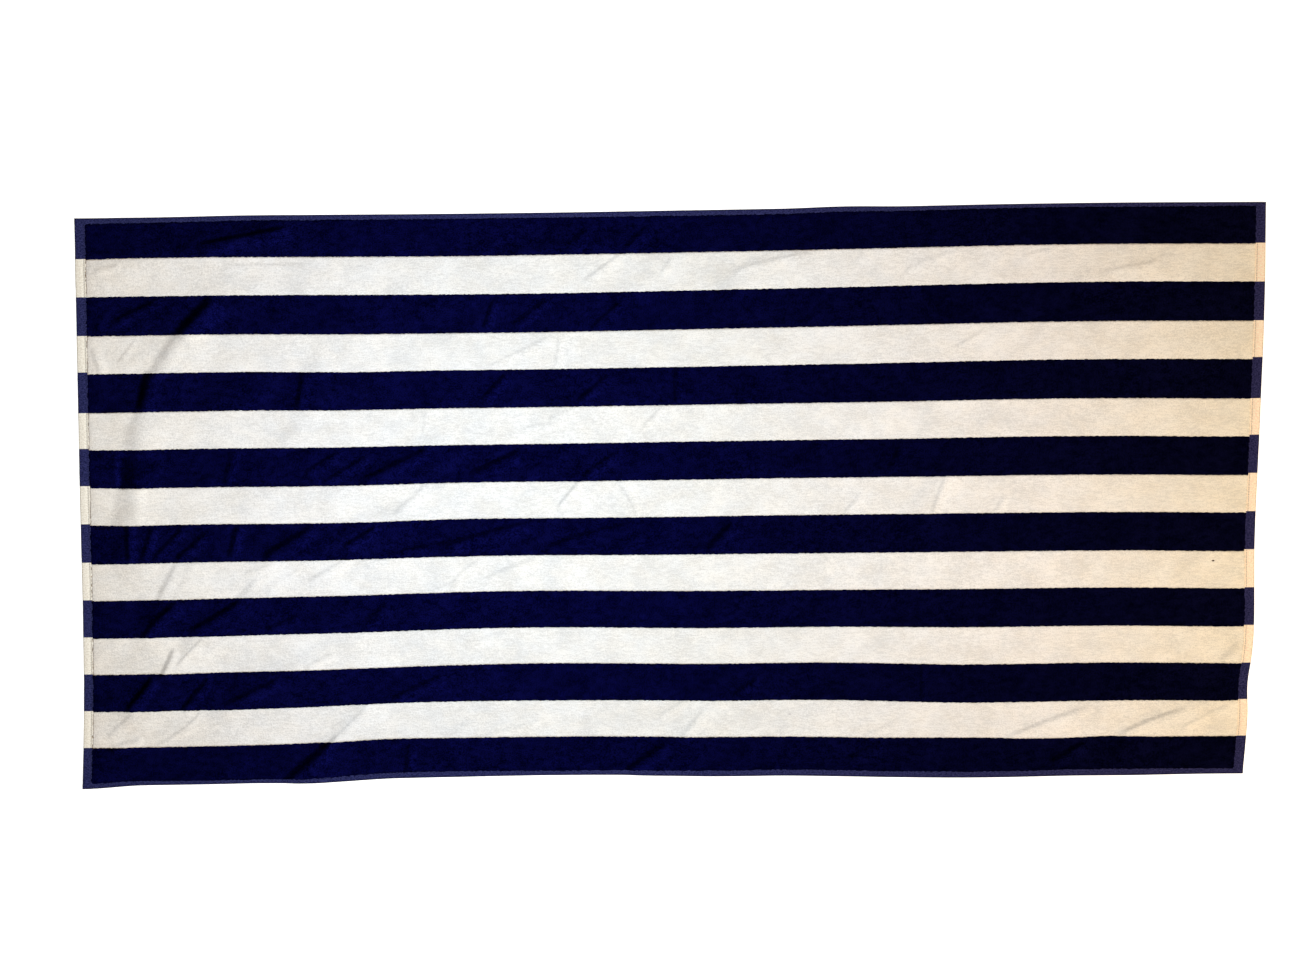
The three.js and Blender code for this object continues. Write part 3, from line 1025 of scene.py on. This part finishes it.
def woven_shading(name):
    """Flat-woven ground of the hems: speckled yarn in two tones of each stripe, with painted shade at the
    very edge and along the end seams, and painted warm light towards the right end.
    """
    s = Shading(name, roughness=0.95)
    along, across = s.flat_places()
    to_end = s.edge_depth(along, LENGTH)
    to_side = s.edge_depth(across, WIDTH)
    rim = s.ramp(s.maths("MINIMUM", to_end, to_side), RIM_SHADE)
    slub = s.ramp(s.noise(SLUB_CELLS, detail=1.0), list(zip(SLUB_STOPS, [(0, 0, 0), (1, 1, 1)])))
    colour = s.mix(slub, s.striped(across, DEEP_YARN), s.striped(across, LIGHT_YARN))
    # Painted shade at the rim and along the end seams' furrows, and painted warm light towards the right
    # end
    for shade in (rim, s.furrow(to_end, END_SEAM), s.along_towel(HEM_PAINTED_WARM_LIGHT)):
        colour = s.mix(1.0, colour, shade, "MULTIPLY")
    weft = s.node("ShaderNodeTexWave", bands_direction="X")
    warp = s.node("ShaderNodeTexWave", bands_direction="Y")
    for wave in (weft, warp):
        wave.inputs["Scale"].default_value = RIB_SCALE
        wave.inputs["Distortion"].default_value = RIB_WAVER
        s.link(s.place, wave.inputs["Vector"])
    ribs = s.maths("ADD", weft.outputs["Fac"], warp.outputs["Fac"])
    normal = s.bump(ribs, RIB_BUMP, strength=0.6)
    normal = s.bump(s.noise(YARN_CELLS), YARN_BUMP, strength=0.5, after=normal)
    return s.finish(colour, normal)


def thread_shading(name):
    """Matt sewing thread with a fine ply, which takes up the colour of the stripe under it."""
    s = Shading(name, roughness=0.85)
    across = s.flat_places()[1]
    ply = s.noise(PLY_CELLS, detail=1.0)
    colour = s.mix(1.0, s.striped(across, THREAD), s.ramp(ply, PLY_SHADE), "MULTIPLY")
    return s.finish(colour, s.bump(ply, PLY_BUMP, strength=0.5))


def linear(red, green, blue):
    """Linear colour of an sRGB one given from 0 to 255."""
    c = np.array([red, green, blue]) / 255
    return tuple(float(v) for v in np.where(c <= 0.04045, c / 12.92, ((c + 0.055) / 1.055) ** 2.4))


def make_towel():
    """Every piece of the towel, made and dressed."""
    navy_pile = pile_shading("navy_pile", NAVY_PILE, NAVY_TINTS, NAVY_PAINTED_WARM_LIGHT, NAVY_PAINTED_SLOPE_LIGHT, NAVY_NAP)
    white_pile = pile_shading(
        "white_pile", WHITE_PILE, WHITE_TINTS, WHITE_YELLOWING_AND_PAINTED_LIGHT, WHITE_PAINTED_SLOPE_LIGHT, WHITE_NAP, SPOTS
    )
    woven = woven_shading("woven_hem")
    thread = thread_shading("hem_thread")

    cloth = make_cloth()
    cloth.data.materials.append(woven)
    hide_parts("towel")

    edges = stripe_edges()
    edges[0] += SIDE_HEM
    edges[-1] -= SIDE_HEM
    for number, (low, high) in enumerate(zip(edges[:-1], edges[1:])):
        colour = "navy" if number % 2 == 0 else "white"
        pile = make_pile(number, low, high, colour)
        pile.data.materials.append(navy_pile if colour == "navy" else white_pile)
    for seam in make_seams():
        seam.data.materials.append(thread)


def make_floor():
    """A plain pale floor under the towel, which gives off a little light of its own."""
    mesh = bpy.data.meshes.new("floor")
    signs = [(-1, -1), (1, -1), (1, 1), (-1, 1)]
    corners = [(x * FLOOR["reach"], y * FLOOR["reach"], FLOOR["level"]) for x, y in signs]
    mesh.from_pydata(corners, [], [(0, 1, 2, 3)])
    floor = bpy.data.objects.new("floor", mesh)
    bpy.context.scene.collection.objects.link(floor)
    s = Shading("pale_floor", roughness=0.9)
    s.shader.inputs["Base Color"].default_value = (*(FLOOR["tone"],) * 3, 1)
    s.shader.inputs["Emission Color"].default_value = (1, 1, 1, 1)
    s.shader.inputs["Emission Strength"].default_value = FLOOR["glow"]
    floor.data.materials.append(s.material)


def make_light(name, place, target, size, power, colour):
    """A soft square lamp that faces a target and isn't seen itself."""
    lamp = bpy.data.lights.new(name, "AREA")
    lamp.size = size
    lamp.energy = power
    lamp.color = colour
    made = bpy.data.objects.new(name, lamp)
    bpy.context.scene.collection.objects.link(made)
    way = Vector(target) - Vector(place)
    made.matrix_world = Matrix.Translation(place) @ way.to_track_quat("-Z", "Y").to_matrix().to_4x4()
    made.visible_camera = False


def make_lights():
    """A cool pool over the left middle, warmer light and a low sun from the right, and a warm surround."""
    make_light("cool_pool", **COOL_POOL)
    make_light("warm_right", **WARM_RIGHT)
    sun = bpy.data.lights.new("raking", "SUN")
    sun.energy = SUN["power"]
    sun.color = SUN["colour"]
    sun.angle = np.radians(SUN["spread"])
    raking = bpy.data.objects.new("raking", sun)
    bpy.context.scene.collection.objects.link(raking)
    raking.rotation_euler = Vector(SUN["way"]).to_track_quat("Z", "Y").to_euler()
    world = bpy.data.worlds.new("surround")
    bpy.context.scene.world = world
    world.use_nodes = True
    background = world.node_tree.nodes["Background"]
    background.inputs["Color"].default_value = (*SURROUND["colour"], 1)
    background.inputs["Strength"].default_value = SURROUND["strength"]


def make_camera():
    """The photograph's view: from above, turned and tilted by a few degrees."""
    data = bpy.data.cameras.new("photo_view")
    data.lens = CAMERA_LENS
    data.sensor_fit = "HORIZONTAL"
    camera = bpy.data.objects.new("photo_view", data)
    bpy.context.scene.collection.objects.link(camera)
    tilt = Matrix.Rotation(np.radians(CAMERA_TILT), 4, "X")
    roll = Matrix.Rotation(np.radians(CAMERA_ROLL), 4, "Z")
    camera.matrix_world = Matrix.Translation(CAMERA_PLACE) @ tilt @ roll
    bpy.context.scene.camera = camera


make_camera()
make_lights()
make_floor()
make_towel()
bpy.context.scene.view_settings.view_transform = "Standard"
